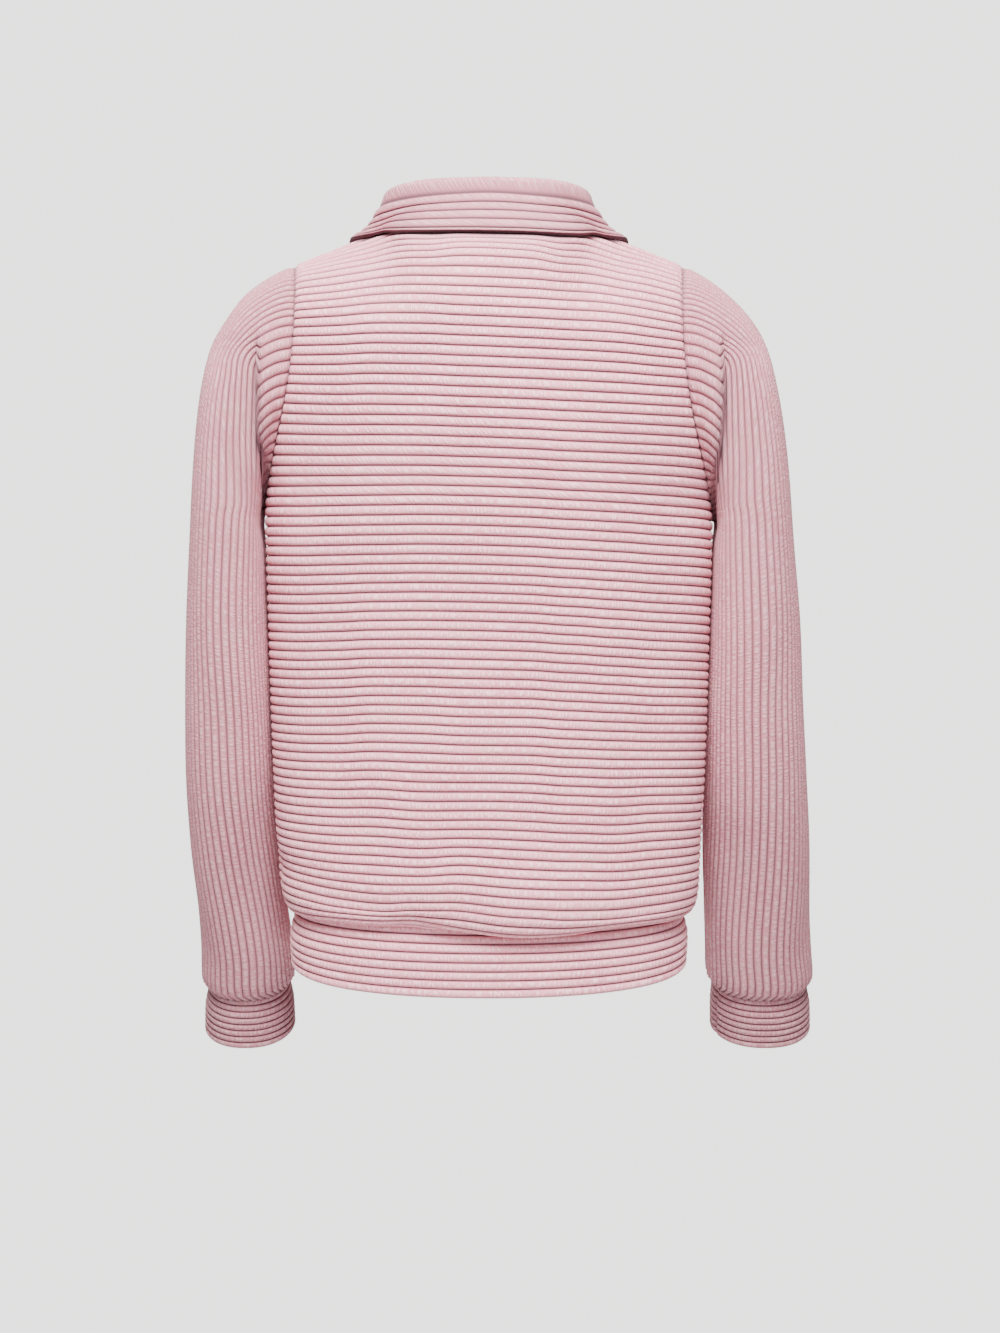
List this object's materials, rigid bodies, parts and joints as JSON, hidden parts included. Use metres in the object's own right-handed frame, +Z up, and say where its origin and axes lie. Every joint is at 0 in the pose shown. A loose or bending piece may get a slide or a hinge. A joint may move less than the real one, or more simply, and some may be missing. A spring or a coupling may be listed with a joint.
{
  "type": "quarter zip sweatshirt",
  "caption": "Hollow worn ribbed knit sweatshirt with a turned-down collar, a short chest zip with a swinging pull tab, set-in sleeves, cuffs and a bloused hem band.",
  "frame": {"origin": "middle of the neck, level with the top of the shoulder seams, where the wearer's neck and shoulders hold the garment up", "axes": "+Z up, +Y out of the garment's back, -Y out of its front with the zip, +X towards the wearer's left sleeve"},
  "size_m": [0.5234, 0.2626, 0.7148],
  "materials": {
    "pink_knit": "matte ribbed knit, slightly fuzzy",
    "pink_tape": "matte woven tape",
    "zip_metal": "satin metal"
  },
  "bodies": {
    "garment": {"back": "pink_knit", "front": "pink_knit", "sleeve_left": "pink_knit", "sleeve_right": "pink_knit", "hem_band": "pink_knit", "cuff_left": "pink_knit", "cuff_right": "pink_knit", "collar": "pink_knit", "zip_tape_left": "pink_tape", "zip_tape_right": "pink_tape", "zip_slider": "zip_metal"},
    "pull": {"pull_tab": "zip_metal"}
  },
  "joints": [
    {"name": "pull_swing", "type": "hinge", "parent": "garment", "child": "pull", "pos_m": [0, -0.08544, -0.08868], "axis": [-1, 0, 0], "range_deg": [0, 140]}
  ]
}
